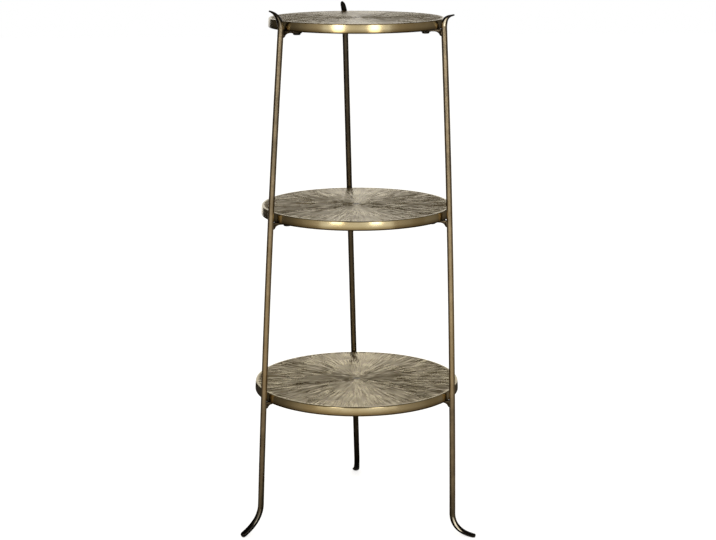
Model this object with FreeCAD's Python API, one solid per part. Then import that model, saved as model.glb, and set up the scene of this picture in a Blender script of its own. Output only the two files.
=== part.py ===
import FreeCAD, Part
import math
import os

# Three-tier occasional table. Three forged rods stand on flattened toes, lean slightly to
# one side and end above the top tray in small outward leaves. Each rod has three short
# arms welded to it, and each arm ends in a flat eye. A round cast tray rests its rim on
# three eyes at every tier and is held down by a socket screw and washer through each.
# Lengths are in millimetres and angles in degrees. The floor is Z = 0 and +Z is up.

# ---- driving dimensions -----------------------------------------------------------

# Tiers: outside diameter, height of the flat deck, and the space between rim and leg.
top_diameter = 276.0
top_height = 818.5
top_leg_space = 1.7
middle_diameter = 304.0
middle_height = 523.0
middle_leg_space = 3.7
bottom_diameter = 330.0
bottom_height = 234.0
bottom_leg_space = 2.4

# Trays: a cast disc with a turned-down rim, hollow below.
rim_depth = 14.4
deck_thickness = 4.0
rim_thickness = 3.5
rim_swell = 0.75
rim_top_round = 1.8
rim_foot_round = 0.8
recess_round = 2.5
boss_diameter = 16.0
web_thickness = 4.0
web_setback = 2.5

# Legs: round bar, bowed by the three tiers, standing at equal angles.
leg_diameter = 9.5
leg_lean = 1.65
first_leg_angle = 90.0

# Both ends of a leg are drawn out by hand, so each leg has its own reach, rise and slope.
forging_start = 0.2

# Toe at the foot of each leg: how tall and long its sweep is, and its forged end.
back_toe_height = 42.0
back_toe_reach = 46.0
back_toe_slope = 15.0
back_toe_thickness = 6.5
front_left_toe_height = 50.0
front_left_toe_reach = 36.5
front_left_toe_slope = 28.0
front_left_toe_thickness = 8.5
front_right_toe_height = 35.0
front_right_toe_reach = 41.0
front_right_toe_slope = 1.0
front_right_toe_thickness = 6.5
toe_heel_pull = 22.0
toe_tip_pull = 24.0
toe_width = 12.0
toe_nose = 0.9
toe_nose_length = 2.3
toe_ground_flat = 0.6

# Leaf at the top of each leg: where it starts below the deck, its sweep and its end.
leaf_start_drop = 13.5
back_leaf_rise = 26.5
back_leaf_reach = 20.5
back_leaf_sway = 2.5
front_left_leaf_rise = 30.0
front_left_leaf_reach = 21.5
front_right_leaf_rise = 21.5
front_right_leaf_reach = 17.0
leaf_root_pull = 15.0
leaf_tip_pull = 13.0
leaf_tip_slope = 10.0
leaf_width = 7.5
leaf_thickness = 2.6
leaf_nose = 0.6

# Arms: round bar that leaves the leg uphill and is forged flat into an eye.
arm_diameter = 5.8
arm_weld_diameter = 8.4
arm_drop = 10.2
arm_slope = 56.0
arm_run = 14.0
arm_reach = 30.0
arm_neck_width = 9.0
arm_neck_thickness = 3.2
eye_diameter = 15.0
eye_thickness = 3.6
weld_gap = 0.15

# Fasteners: M6 low-head socket screws and flat washers.
screw_diameter = 6.0
screw_length = 12.0
screw_head_diameter = 12.0
screw_head_height = 2.9
screw_socket_width = 4.0
screw_socket_depth = 1.9
screw_chamfer = 0.8
screw_end_space = 1.4
thread_clearance = 0.15
hole_clearance = 0.3
washer_diameter = 16.0
washer_thickness = 0.9

# ---- places worked out from them --------------------------------------------------

leg_radius = leg_diameter / 2.0
hole_radius = screw_diameter / 2.0 + hole_clearance
lean = math.radians(leg_lean)
TIERS = {
    "top": (top_diameter / 2.0, top_height, top_leg_space),
    "middle": (middle_diameter / 2.0, middle_height, middle_leg_space),
    "bottom": (bottom_diameter / 2.0, bottom_height, bottom_leg_space),
}
TOES = {
    "back": (back_toe_height, back_toe_reach, back_toe_slope, back_toe_thickness),
    "front_left": (front_left_toe_height, front_left_toe_reach,
                   front_left_toe_slope, front_left_toe_thickness),
    "front_right": (front_right_toe_height, front_right_toe_reach,
                    front_right_toe_slope, front_right_toe_thickness),
}
LEAVES = {
    "back": (back_leaf_rise, back_leaf_reach, back_leaf_sway),
    "front_left": (front_left_leaf_rise, front_left_leaf_reach, 0.0),
    "front_right": (front_right_leaf_rise, front_right_leaf_reach, 0.0),
}
LEG_ANGLES = {name: first_leg_angle + 360.0 * i / len(TOES) for i, name in enumerate(TOES)}
UP = FreeCAD.Vector(0, 0, 1)


def turned(shape, angle):
    """A copy of the shape, turned about the vertical axis of the trays."""
    copy = shape.copy()
    copy.rotate(FreeCAD.Vector(0, 0, 0), UP, angle)
    return copy


def disc(radius, height, x, y, z):
    """An upright cylinder whose lower face is centred on (x, y, z)."""
    return Part.makeCylinder(radius, height, FreeCAD.Vector(x, y, z), UP)


# ---- legs -------------------------------------------------------------------------
# A leg lies in one plane that leans sideways about the radial line through the middle
# deck. It is drawn upright, with X outwards, and its shape is then tilted by the lean.


def side_shift(height):
    """How far the lean moves the leg sideways at this height."""
    return (height - middle_height) * math.tan(lean)


def along_leg(height):
    """Distance up the tilted plane that belongs to a true height."""
    return middle_height + (height - middle_height) / math.cos(lean)


def tier_distance(tier):
    """Distance from the trays' axis to the centre of the leg beside this tray."""
    radius, height, space = TIERS[tier]
    return radius + space + leg_radius


def tier_point(tier):
    """The leg's centre beside a tray, as distance out and distance up its plane."""
    height = TIERS[tier][1] - rim_depth / 2.0
    out = math.sqrt(tier_distance(tier) ** 2 - side_shift(height) ** 2)
    return out, along_leg(height)


def bow(up):
    """The leg's distance out: the parabola through its three points beside the trays."""
    points = [tier_point(tier) for tier in TIERS]
    total = 0.0
    for out_i, up_i in points:
        share = 1.0
        for out_j, up_j in points:
            if up_j != up_i:
                share *= (up - up_j) / (up_i - up_j)
        total += out_i * share
    return total


def bow_slope(up):
    """Outward change of the bow for each millimetre up (exact on a parabola)."""
    return (bow(up + 1.0) - bow(up - 1.0)) / 2.0


def bezier(poles, share):
    """Point and direction on a cubic curve with four poles in the leg's plane."""
    rest = 1.0 - share
    weights = [rest ** 3, 3 * rest ** 2 * share, 3 * rest * share ** 2, share ** 3]
    slopes = [rest ** 2, 2 * rest * share, share ** 2]
    point = FreeCAD.Vector(0, 0, 0)
    direction = FreeCAD.Vector(0, 0, 0)
    for pole, weight in zip(poles, weights):
        point += pole * weight
    for first, second, slope in zip(poles, poles[1:], slopes):
        direction += (second - first) * slope
    return point, direction.normalize()


def oval(point, direction, width, thickness):
    """An elliptical wire across the direction, its width sideways (along Y)."""
    side = FreeCAD.Vector(0, 1, 0)
    curve = Part.Ellipse(FreeCAD.Vector(0, 0, 0), max(width, thickness * 1.0001) / 2.0, thickness / 2.0)
    wire = Part.Wire([curve.toShape()])
    across = direction.cross(side)
    turn = FreeCAD.Matrix(side.x, across.x, direction.x, point.x,
                          side.y, across.y, direction.y, point.y,
                          side.z, across.z, direction.z, point.z,
                          0, 0, 0, 1)
    return wire.transformGeometry(turn)


def ease(share, start, end):
    """Smooth change from 0 at start to 1 at end."""
    part = min(max((share - start) / (end - start), 0.0), 1.0)
    return part * part * (3.0 - 2.0 * part)


def forged_end(poles, width, thickness, nose):
    """Round bar drawn out along a curve into a flat blade with a rounded nose."""
    sections = []
    for share in [0.0, 0.15, 0.3, 0.45, 0.6, 0.72, 0.82, 0.9, 0.95, 0.98, 0.995]:
        point, direction = bezier(poles, share)
        flat = ease(share, forging_start, 1.0)
        wide = leg_diameter + (width - leg_diameter) * flat
        thick = leg_diameter + (thickness - leg_diameter) * flat
        past = max(share - nose, 0.0) / (1.0 - nose)
        wide *= math.sqrt(1.0 - past ** 2)
        sections.append(oval(point, direction, wide, min(thick, wide)))
    return Part.makeLoft(sections, True, False)


def vector_at(angle, length):
    """A step of this length in the leg's plane, at an angle above straight outwards."""
    turn = math.radians(angle)
    return FreeCAD.Vector(length * math.cos(turn), 0, length * math.sin(turn))


def shaft(radius, toe_height):
    """The plain bowed bar between toe and leaf, at the given radius, still upright."""
    low = along_leg(toe_height)
    high = along_leg(top_height - leaf_start_drop)
    middle = (low + high) / 2.0
    pull = bow(middle) * 2.0 - (bow(low) + bow(high)) / 2.0
    curve = Part.BezierCurve()
    curve.setPoles([FreeCAD.Vector(bow(low), 0, low),
                    FreeCAD.Vector(pull, 0, middle),
                    FreeCAD.Vector(bow(high), 0, high)])
    start = FreeCAD.Vector(bow(low), 0, low)
    direction = FreeCAD.Vector(bow_slope(low), 0, 1).normalize()
    section = oval(start, direction, radius * 2.0, radius * 2.0)
    return Part.Wire([curve.toShape()]).makePipeShell([section], True, False)


def toe(height, reach, slope, thickness):
    """The foot: sweeps down and outwards and ends flat on the floor."""
    low = along_leg(height)
    start = FreeCAD.Vector(bow(low), 0, low)
    down = FreeCAD.Vector(-bow_slope(low), 0, -1).normalize()
    turn = math.radians(slope)
    lowest = thickness / 2.0 * math.cos(turn) - toe_nose_length * math.sin(turn)
    tip = FreeCAD.Vector(bow(low) + reach, 0, along_leg(lowest - toe_ground_flat))
    poles = [start, start + down * toe_heel_pull, tip - vector_at(-slope, toe_tip_pull), tip]
    return forged_end(poles, toe_width, thickness, toe_nose)


def leaf(rise, reach, sway):
    """The small forged leaf that flares outwards above the top tray."""
    high = along_leg(top_height - leaf_start_drop)
    start = FreeCAD.Vector(bow(high), 0, high)
    up = FreeCAD.Vector(bow_slope(high), 0, 1).normalize()
    tip = start + FreeCAD.Vector(reach, sway, rise)
    poles = [start, start + up * leaf_root_pull, tip - vector_at(leaf_tip_slope, leaf_tip_pull), tip]
    return forged_end(poles, leaf_width, leaf_thickness, leaf_nose)


def leaned(shape):
    """Tilt an upright leg shape sideways about the radial line at the middle deck."""
    copy = shape.copy()
    copy.rotate(FreeCAD.Vector(0, 0, middle_height), FreeCAD.Vector(1, 0, 0), -leg_lean)
    return copy


def make_leg(name):
    """One whole leg in its place, its toe ground flat at the floor."""
    toe_height, toe_reach = TOES[name][:2]
    bar = shaft(leg_radius, toe_height)
    leg = leaned(bar.fuse([toe(*TOES[name]), leaf(*LEAVES[name])]))
    side = bottom_diameter + toe_reach
    floor = Part.makeBox(side, side, toe_height, FreeCAD.Vector(0, -side / 2.0, -toe_height))
    return turned(leg.cut(floor), LEG_ANGLES[name])


# ---- arms -------------------------------------------------------------------------
# An arm is drawn with X inwards from the leg's centre to the trays' axis and with its
# flat upper face at Z = 0, where the rim of the tray rests.


def arm_bar():
    """The bar between weld and eye, round at the leg and flat at the eye."""
    start = FreeCAD.Vector(0, 0, -arm_drop)
    end = FreeCAD.Vector(arm_run, 0, -eye_thickness / 2.0)
    pull = arm_run * 0.4
    poles = [start, start + vector_at(arm_slope, pull), end - FreeCAD.Vector(pull, 0, 0), end]
    sections = []
    for share in [0.0, 0.2, 0.35, 0.5, 0.65, 0.8, 1.0]:
        point, direction = bezier(poles, share)
        weld = (arm_weld_diameter - arm_diameter) * (1.0 - ease(share, 0.25, 0.7))
        flat = ease(share, 0.35, 1.0)
        wide = arm_diameter + weld + (arm_neck_width - arm_diameter) * flat
        thick = arm_diameter + weld + (arm_neck_thickness - arm_diameter) * flat
        sections.append(oval(point, direction, wide, thick))
    return Part.makeLoft(sections, True, False)


def arm_eye():
    """The flat strap: a neck whose straight sides run tangent into a round eye."""
    eye_radius = eye_diameter / 2.0
    neck = arm_neck_width / 2.0
    length = arm_reach - arm_run
    span = math.hypot(length, neck)
    turn = math.atan2(neck, length) + math.acos(eye_radius / span)
    touch_x = arm_reach - eye_radius * math.cos(turn)
    touch_y = eye_radius * math.sin(turn)
    low = -eye_thickness
    a = FreeCAD.Vector(arm_run, neck, low)
    b = FreeCAD.Vector(touch_x, touch_y, low)
    c = FreeCAD.Vector(arm_reach + eye_radius, 0, low)
    d = FreeCAD.Vector(touch_x, -touch_y, low)
    e = FreeCAD.Vector(arm_run, -neck, low)
    edges = [Part.LineSegment(a, b).toShape(), Part.Arc(b, c, d).toShape(),
             Part.LineSegment(d, e).toShape(), Part.LineSegment(e, a).toShape()]
    return Part.Face(Part.Wire(edges)).extrude(FreeCAD.Vector(0, 0, eye_thickness))


def arm_blank():
    """An arm before it is fitted to its leg: bar and eye, with the screw hole drilled."""
    hole = disc(hole_radius, eye_thickness * 3.0, arm_reach, 0, -eye_thickness * 2.0)
    return arm_bar().fuse(arm_eye()).cut(hole)


def arm_angle(tier):
    """Angle of a tray's arms past their leg's own angle, because the legs lean."""
    shift = side_shift(TIERS[tier][1] - rim_depth)
    return math.degrees(math.asin(shift / leg_distance(tier)))


def leg_distance(tier):
    """Distance from the axis to the leg's centre at the height of the rim's lower edge."""
    height = TIERS[tier][1] - rim_depth
    return math.hypot(bow(along_leg(height)), side_shift(height))


def make_arm(tier):
    """One arm of a tier, in place for a leg at the zero angle and coped to its bar."""
    rim_foot = TIERS[tier][1] - rim_depth
    arm = turned(arm_blank(), 180.0)
    arm.translate(FreeCAD.Vector(leg_distance(tier), 0, rim_foot))
    return turned(arm, arm_angle(tier)).cut(leaned(shaft(leg_radius + weld_gap, back_toe_height)))


# ---- trays ------------------------------------------------------------------------


def screw_circle(tier):
    """Distance of the screws from the trays' axis."""
    return leg_distance(tier) - arm_reach


def tray_disc(radius, deck):
    """The turned shape of a tray: flat deck, swelling rim and hollow underside."""
    foot = deck - rim_depth
    waist = radius - rim_swell
    shoulder = deck - rim_top_round
    heel = foot + rim_foot_round
    inside = radius - rim_thickness
    ceiling = deck - deck_thickness
    bend = math.sqrt(0.5)

    def at(out, up):
        return FreeCAD.Vector(out, 0, up)

    top_round = Part.Arc(at(waist - rim_top_round, deck),
                         at(waist - rim_top_round * (1 - bend), deck - rim_top_round * (1 - bend)),
                         at(waist, shoulder))
    swell = Part.Arc(at(waist, shoulder), at(radius - rim_swell / 4.0, (shoulder + heel) / 2.0), at(radius, heel))
    foot_round = Part.Arc(at(radius, heel),
                          at(radius - rim_foot_round * (1 - bend), heel - rim_foot_round * bend),
                          at(radius - rim_foot_round, foot))
    cove = Part.Arc(at(inside, ceiling - recess_round),
                    at(inside - recess_round * (1 - bend), ceiling - recess_round * (1 - bend)),
                    at(inside - recess_round, ceiling))
    edges = [
        Part.LineSegment(at(0, deck), at(waist - rim_top_round, deck)),
        top_round,
        swell,
        foot_round,
        Part.LineSegment(at(radius - rim_foot_round, foot), at(inside, foot)),
        Part.LineSegment(at(inside, foot), at(inside, ceiling - recess_round)),
        cove,
        Part.LineSegment(at(inside - recess_round, ceiling), at(0, ceiling)),
        Part.LineSegment(at(0, ceiling), at(0, deck)),
    ]
    outline = Part.Face(Part.Wire([edge.toShape() for edge in edges]))
    return outline.revolve(FreeCAD.Vector(0, 0, 0), UP, 360)


def make_tray(tier):
    """A tray with a screw boss over each eye and a web from each boss to the rim."""
    radius, deck = TIERS[tier][:2]
    foot = deck - rim_depth
    circle = screw_circle(tier)
    boss = disc(boss_diameter / 2.0, rim_depth - deck_thickness / 2.0, circle, 0, foot)
    web = Part.makeBox(radius - rim_thickness / 2.0 - circle, web_thickness,
                       rim_depth - deck_thickness / 2.0 - web_setback,
                       FreeCAD.Vector(circle, -web_thickness / 2.0, foot + web_setback))
    bore = disc(screw_diameter / 2.0 + thread_clearance, screw_grip() + screw_end_space, circle, 0, foot)
    angles = [angle + arm_angle(tier) for angle in LEG_ANGLES.values()]
    added = [turned(shape, angle) for angle in angles for shape in (boss, web)]
    tray = tray_disc(radius, deck).fuse(added)
    return tray.cut([turned(bore, angle) for angle in angles]).removeSplitter()


# ---- fasteners --------------------------------------------------------------------


def screw_grip():
    """Length of screw inside the boss, past washer and eye."""
    return screw_length - washer_thickness - eye_thickness


def make_screw():
    """A low-head socket screw, standing head down with its head's flat face at Z = 0."""
    shank = disc(screw_diameter / 2.0, screw_length, 0, 0, 0)
    end = [edge for edge in shank.Edges if edge.BoundBox.ZMin > screw_length / 2.0]
    shank = shank.makeChamfer(screw_chamfer, end)
    edge_height = screw_head_height * 0.35
    face_radius = screw_head_diameter * 0.33
    rim = FreeCAD.Vector(screw_head_diameter / 2.0, 0, -edge_height)
    face = FreeCAD.Vector(face_radius, 0, -screw_head_height)
    crown = FreeCAD.Vector(screw_head_diameter * 0.45, 0, -screw_head_height * 0.78)
    edges = [
        Part.LineSegment(FreeCAD.Vector(0, 0, 0), FreeCAD.Vector(screw_head_diameter / 2.0, 0, 0)),
        Part.LineSegment(FreeCAD.Vector(screw_head_diameter / 2.0, 0, 0), rim),
        Part.Arc(rim, crown, face),
        Part.LineSegment(face, FreeCAD.Vector(0, 0, -screw_head_height)),
        Part.LineSegment(FreeCAD.Vector(0, 0, -screw_head_height), FreeCAD.Vector(0, 0, 0)),
    ]
    outline = Part.Face(Part.Wire([edge.toShape() for edge in edges]))
    head = outline.revolve(FreeCAD.Vector(0, 0, 0), UP, 360)
    corner = screw_socket_width / 2.0 / math.cos(math.radians(30.0))
    hexagon = [FreeCAD.Vector(corner * math.cos(math.radians(60.0 * i)),
                              corner * math.sin(math.radians(60.0 * i)),
                              -screw_head_height) for i in range(7)]
    socket = Part.Face(Part.makePolygon(hexagon)).extrude(FreeCAD.Vector(0, 0, screw_socket_depth))
    return head.fuse(shank).cut(socket)


def make_washer():
    """A flat washer that lies under the eye, its upper face at Z = 0."""
    washer = disc(washer_diameter / 2.0, washer_thickness, 0, 0, -washer_thickness)
    return washer.cut(disc(hole_radius, washer_thickness * 3.0, 0, 0, -washer_thickness * 2.0))


def under_eyes(shape, tier, drop):
    """One copy of a fastener below each eye of a tier, lowered by the drop."""
    height = TIERS[tier][1] - rim_depth - eye_thickness - drop
    placed = shape.copy()
    placed.translate(FreeCAD.Vector(screw_circle(tier), 0, height))
    return Part.makeCompound([turned(placed, angle + arm_angle(tier)) for angle in LEG_ANGLES.values()])


# ---- assembly ---------------------------------------------------------------------


def make_nodes():
    """Every piece by name, with the trays' axis on the Z axis."""
    nodes = {"leg_" + name: make_leg(name) for name in LEG_ANGLES}
    for tier in TIERS:
        nodes["tray_" + tier] = make_tray(tier)
        arm = make_arm(tier)
        for name, angle in LEG_ANGLES.items():
            nodes["arm_" + tier + "_" + name] = turned(arm, angle)
        nodes["washers_" + tier] = under_eyes(make_washer(), tier, 0.0)
        nodes["screws_" + tier] = under_eyes(make_screw(), tier, washer_thickness)
    return nodes


def main():
    """Centre the footprint on the origin and write one file for each piece."""
    os.makedirs("parts", exist_ok=True)
    nodes = make_nodes()
    whole = Part.makeCompound(list(nodes.values())).optimalBoundingBox(False)
    centre = FreeCAD.Vector(-whole.Center.x, -whole.Center.y, 0)
    print("trays' axis at", round(centre.x, 3), round(centre.y, 3))
    for name, shape in nodes.items():
        shape.translate(centre)
        shape.exportStep(os.path.join("parts", name + ".step"))
        print(name, "solids", len(shape.Solids), "volume", round(shape.Volume), "valid", shape.isValid())


main()
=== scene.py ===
# %% [markdown]
# # A three-tier side table: forged legs and cast trays
#
# The real table is a small stack of metalwork. Three round trays are cast in a light
# metal, cut with fine chisel strokes that run out from the middle, and given a tired
# nickel colour, while their turned-down rims are burnished to brass. Three slim legs are
# round bar with the foot and the top drawn out flat under the hammer. Short arms are
# welded to the legs, and a socket screw through each arm holds the tray's rim down.
#
# Every piece below is a surface worked out with numpy: either a profile turned round an
# axis, or an oval section carried along a curve. That keeps each form tied to a few
# workshop sizes, which are the same as those of the construction model.

# %% Load the fixed frame
import math

import bpy
import numpy as np
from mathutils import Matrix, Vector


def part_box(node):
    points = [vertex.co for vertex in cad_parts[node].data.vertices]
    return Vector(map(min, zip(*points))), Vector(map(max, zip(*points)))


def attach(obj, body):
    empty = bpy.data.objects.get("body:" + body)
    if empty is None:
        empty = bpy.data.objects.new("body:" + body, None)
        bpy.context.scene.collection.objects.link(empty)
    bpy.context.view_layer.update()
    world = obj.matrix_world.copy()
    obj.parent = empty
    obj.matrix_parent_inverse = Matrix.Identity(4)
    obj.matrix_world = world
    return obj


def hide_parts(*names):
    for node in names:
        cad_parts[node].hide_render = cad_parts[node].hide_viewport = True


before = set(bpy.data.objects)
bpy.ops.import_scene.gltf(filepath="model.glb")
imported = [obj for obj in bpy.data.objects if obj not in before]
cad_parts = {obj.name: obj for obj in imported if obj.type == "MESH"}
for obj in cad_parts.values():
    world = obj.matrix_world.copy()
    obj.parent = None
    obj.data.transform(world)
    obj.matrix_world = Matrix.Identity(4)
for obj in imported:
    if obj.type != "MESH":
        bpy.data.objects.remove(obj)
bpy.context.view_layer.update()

# %% [markdown]
# ## Workshop sizes
#
# All lengths are in millimetres, as on a workshop drawing, and each mesh is turned into
# metres when it is stored. The trays share one upright axis. Its place is read from the
# frame, so that the pieces land where the construction model has them. The sizes of a
# single piece come later, where that piece is made.

# %% Sizes that several pieces share
MM = 0.001
TIERS = {  # outside radius, height of the deck, space between the rim and the leg
    "top": (138.0, 818.5, 1.7),
    "middle": (152.0, 523.0, 3.7),
    "bottom": (165.0, 234.0, 2.4),
}
LEG_ANGLES = {"back": 90.0, "front_left": 210.0, "front_right": 330.0}
rim_depth = 14.4


def foot_height(tier):
    """Height of the lower edge of a rim: the deck's height less the depth of the rim."""
    return TIERS[tier][1] - rim_depth


low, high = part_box("tray_bottom")
axis = np.array([(low.x + high.x) / 2, (low.y + high.y) / 2]) / MM
print("the trays' axis stands at, mm:", axis.round(3))

# %% [markdown]
# ## The camera
#
# The camera comes before the pieces. It stands a little to the left of the table, at
# about chest height, and looks slightly down, so the top tray is seen almost edge on and
# the bottom tray opens into a wide ellipse. A long lens keeps the three legs parallel.

# %% Place the camera
camera_distance, camera_height = 2758.6, 1028.3
camera_turn, camera_pitch, camera_heading = np.radians([4.3847, 12.544, 4.430])


def show(name, data):
    """Puts a mesh, a lamp or a camera into the scene, as an object at the origin."""
    made = bpy.data.objects.new(name, data)
    bpy.context.scene.collection.objects.link(made)
    return made


camera_data = bpy.data.cameras.new("studio_camera")
camera_data.sensor_width = 36.0
camera_data.lens = 88.315
camera = show("studio_camera", camera_data)
camera.location = ((axis[0] - camera_distance * math.sin(camera_turn)) * MM,
                   (axis[1] - camera_distance * math.cos(camera_turn)) * MM,
                   camera_height * MM)
camera.rotation_euler = (math.pi / 2 - camera_pitch, 0.0, -camera_heading)
bpy.context.scene.camera = camera
bpy.context.scene.view_settings.view_transform = "Standard"
print("camera at, m:", tuple(round(v, 4) for v in camera.location))

# %% [markdown]
# ## From arrays to a mesh
#
# A mesh is points and faces, so two arrays make one. Each face array, here called a
# flock, holds faces with the same number of corners. The volume that the faces enclose is
# added up from small pyramids: if it comes out negative the faces look inwards, and all
# are turned round.

# %% Measure a shape and turn its faces outwards


def pyramid_volume(points, faces):
    """Volume under the faces: a sixth of a . (b x c), summed over every face's triangles."""
    total = 0.0
    for flock in faces:
        for i in range(1, flock.shape[1] - 1):
            a, b, c = points[flock[:, 0]], points[flock[:, i]], points[flock[:, i + 1]]
            total += np.einsum("ij,ij->i", a, np.cross(b, c)).sum() / 6
    return total


def outwards(points, faces):
    """The faces as they are, or all turned round where their volume is negative."""
    return [flock[:, ::-1] for flock in faces] if pyramid_volume(points, faces) < 0 else faces


corner_points = np.array([[0, 0, 0], [1, 0, 0], [0, 1, 0], [0, 0, 1]])
corner_faces = [np.array([[0, 2, 1], [0, 1, 3], [1, 2, 3], [0, 3, 2]])]
print("volume of the corner of a cube:", round(pyramid_volume(corner_points, corner_faces), 4))

# %% [markdown]
# ## Storing a mesh
#
# The corners of all faces go into one long list, and each face says where in it it
# starts. Edges sharper than the crease angle stay crisp, all others are shaded smooth.
# Values that a finish reads later, such as how much painted light a point takes, are stored beside
# the points.

# %% Store arrays as an object


def put_mesh(name, points, faces, attributes=None, crease=40.0):
    """Makes one object from points in millimetres, a list of face arrays and point values."""
    points, faces = np.asarray(points, float), outwards(points, faces)
    corners = np.concatenate([flock.ravel() for flock in faces])
    sides = np.concatenate([np.full(len(flock), flock.shape[1]) for flock in faces])
    mesh = bpy.data.meshes.new(name)
    mesh.vertices.add(len(points))
    mesh.vertices.foreach_set("co", (points * MM).ravel())
    mesh.loops.add(len(corners))
    mesh.loops.foreach_set("vertex_index", corners)
    mesh.polygons.add(len(sides))
    mesh.polygons.foreach_set("loop_start", np.concatenate([[0], np.cumsum(sides)[:-1]]))
    mesh.update(calc_edges=True)
    for key, values in (attributes or {}).items():
        layer = mesh.attributes.new(key, "FLOAT", "POINT")
        layer.data.foreach_set("value", np.asarray(values, np.float32).ravel())
    mesh.shade_smooth()
    mesh.set_sharp_from_angle(angle=math.radians(crease))
    print(f"{name}: {len(points)} points, {(sides - 2).sum()} triangles, "
          f"{abs(pyramid_volume(points, faces)) / 1000:.2f} cm3")
    return show(name, mesh)


def join_shells(*shells):
    """Several closed shells as one: the points are stacked and the face numbers moved up."""
    points, faces, start = [], [], 0
    for shell_points, shell_faces in shells:
        points.append(shell_points)
        faces += [flock + start for flock in outwards(shell_points, shell_faces)]
        start += len(shell_points)
    return np.concatenate(points), faces

# %% [markdown]
# ## Rings into a skin
#
# Nearly every piece is a stack of closed rings of points, like a basket. The skin is the
# faces between one ring and the next, and a point in the middle closes it at each end. A
# worked deck needs more points round its edge than round its middle, so a ring may have
# several times as many points as its neighbour.

# %% Rings, and the skin that joins them


def full_turn(count):
    """Angles of `count` even steps once round."""
    return 2 * math.pi * np.arange(count) / count


def ring(out, up, angle, x=0.0):
    """Level ring: out times the cosine and sine of each angle round (x, 0), at height up."""
    return np.stack([x + out * np.cos(angle), out * np.sin(angle), up + 0 * angle], axis=-1)


def stack_rings(rings):
    """Joins closed rings of points into one skin, with a point to close it at each end.

    Rings are (count, 3) arrays. Between rings of the same count every face has four
    corners. Where the count changes by a whole factor k, each face takes one step of the
    sparse ring and k steps of the dense one.
    """
    first, last = rings[0], rings[-1]
    points = [first.mean(axis=0, keepdims=True), *rings, last.mean(axis=0, keepdims=True)]
    starts = np.concatenate([[0], np.cumsum([len(each) for each in points])])
    i = np.arange(len(first))
    faces = [np.stack([0 * i, 1 + np.roll(i, -1), 1 + i], axis=1)]
    for k in range(1, len(rings)):
        here, there = (len(rings[k - 1]), starts[k]), (len(rings[k]), starts[k + 1])
        denser = here[0] <= there[0]
        (few, few_start), (many, many_start) = (here, there) if denser else (there, here)
        factor, i = many // few, np.arange(few)
        run = [many_start + (i * factor + j) % many for j in range(factor, -1, -1)]
        loop = np.stack([few_start + i, few_start + np.roll(i, -1), *run], axis=1)
        faces.append(loop if denser else loop[:, ::-1])
    i, start, end = np.arange(len(last)), starts[-3], starts[-2]
    faces.append(np.stack([0 * i + end, start + i, start + np.roll(i, -1)], axis=1))
    return np.concatenate(points), faces


def closed_values(bands):
    """Values for a stack of rings: each ring's own, and their mean at both closing points."""
    return np.concatenate([[bands[0].mean()], *bands, [bands[-1].mean()]])


drum = stack_rings([ring(1.0, 0.0, full_turn(8)), ring(1.0, 1.0, full_turn(24))])
print("corners of the drum's faces:", [flock.shape[1] for flock in drum[1]])

# %% [markdown]
# ## Small shared formulas
#
# A few formulas come back in every piece. One eases a value from 0 to 1 without a kink.
# One runs along a curve with four poles. One is the noise of handwork: slow random waves
# that are the same every time the script runs.

# %% Easing, curves and the irregularity of handwork


def smooth(t):
    """3t^2 - 2t^3, which starts and ends level."""
    return t * t * (3 - 2 * t)


def ease(share, start, end):
    """0 before start, 1 after end, and smooth between them."""
    return smooth(np.clip((share - start) / (end - start), 0.0, 1.0))


def bezier(poles, share):
    """Points and unit directions of a cubic curve: poles weighted by (1-t)^3, 3t(1-t)^2, ..."""
    t, p = share[:, None], np.asarray(poles, float)
    s = 1 - t
    point = s ** 3 * p[0] + 3 * t * s ** 2 * p[1] + 3 * t * t * s * p[2] + t ** 3 * p[3]
    way = s ** 2 * (p[1] - p[0]) + 2 * t * s * (p[2] - p[1]) + t * t * (p[3] - p[2])
    return point, way / np.linalg.norm(way, axis=1, keepdims=True)


def handwork(place, wavelength, seed):
    """Slow random wave from 0 to 1 along a length: random heights joined by easing."""
    heights = np.random.default_rng(seed).random(512)
    along = np.asarray(place, float) / wavelength + 37.0
    k = np.floor(along).astype(int)
    t = smooth(along - k)
    return heights[k % 512] * (1 - t) + heights[(k + 1) % 512] * t


def turned(points, degrees):
    """Points turned about the upright axis by an angle."""
    c, s = math.cos(math.radians(degrees)), math.sin(math.radians(degrees))
    x, y, z = np.moveaxis(points, -1, 0)
    return np.stack([x * c - y * s, x * s + y * c, z], axis=-1)


def at_axis(points):
    """Points measured from the trays' axis, moved to the frame's own origin."""
    return points + np.array([axis[0], axis[1], 0.0])


print("a hand's wave every 10 mm:", handwork(np.arange(0, 60, 10), 17, 1).round(2))

# %% [markdown]
# ## The legs' line
#
# Each leg is one bar. Beside the three trays it bows gently, a parabola through three
# points, and the whole leg leans a little to one side as handmade legs do. It could be a
# straight cylinder, but then the legs would neither touch all three arms nor stand as the
# real ones do. The leg is drawn upright in its own plane first and leaned afterwards.

# %% Where a leg stands beside each tray
leg_diameter, lean = 9.5, math.radians(1.65)
leg_radius = leg_diameter / 2
middle_height = TIERS["middle"][1]


def side_shift(height):
    """Sideways move of the leaning leg: height above the middle deck times tan(lean)."""
    return (height - middle_height) * math.tan(lean)


def along_leg(height):
    """Distance up the leaning leg that belongs to a true height."""
    return middle_height + (height - middle_height) / math.cos(lean)


def tier_point(tier):
    """The leg's centre beside a tray: how far out, and how far up its own plane."""
    radius, deck, space = TIERS[tier]
    height = deck - rim_depth / 2
    reach = radius + space + leg_radius
    return math.sqrt(reach ** 2 - side_shift(height) ** 2), along_leg(height)


bow_points = np.array([tier_point(tier) for tier in TIERS])
bow_terms = np.polyfit(bow_points[:, 1], bow_points[:, 0], 2)


def bow(up):
    """Distance out of the leg: the parabola through its three points beside the trays."""
    return np.polyval(bow_terms, up)


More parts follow.
